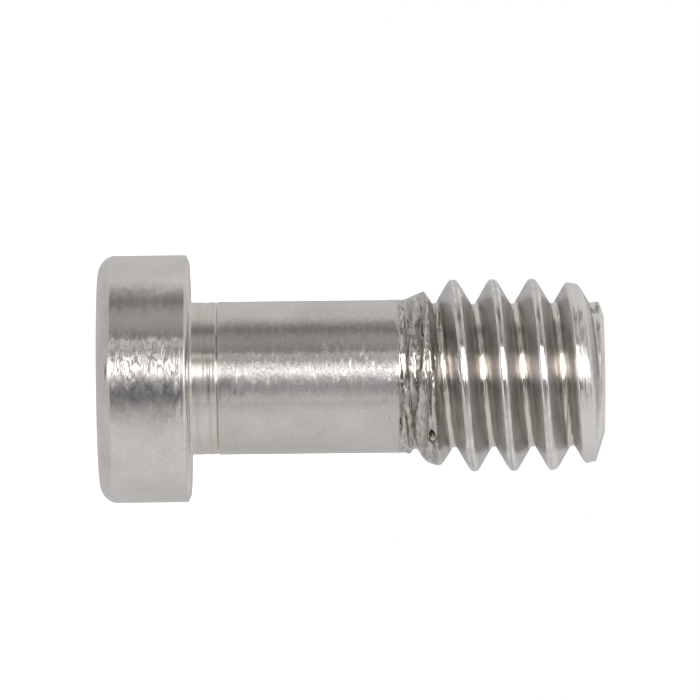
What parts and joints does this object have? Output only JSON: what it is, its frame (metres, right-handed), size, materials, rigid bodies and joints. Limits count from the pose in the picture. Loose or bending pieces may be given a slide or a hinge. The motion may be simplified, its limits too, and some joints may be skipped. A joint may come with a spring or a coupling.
{
  "type": "camera mounting screw",
  "caption": "Captive camera mounting screw: a flat cylindrical head with a hex socket, a plain reduced shank and a short quarter-inch thread that screws into a camera's tripod socket.",
  "frame": {"origin": "centre of the head's end face, on which the screw stands", "axes": "+Z along the screw's axis, from the head towards the tip; +X in the direction in which the thread's groove first has its full depth"},
  "size_m": [0.008, 0.008, 0.0163],
  "materials": {
    "stainless_steel": "satin"
  },
  "bodies": {
    "root": {"mounting_screw": "stainless_steel"}
  },
  "joints": []
}
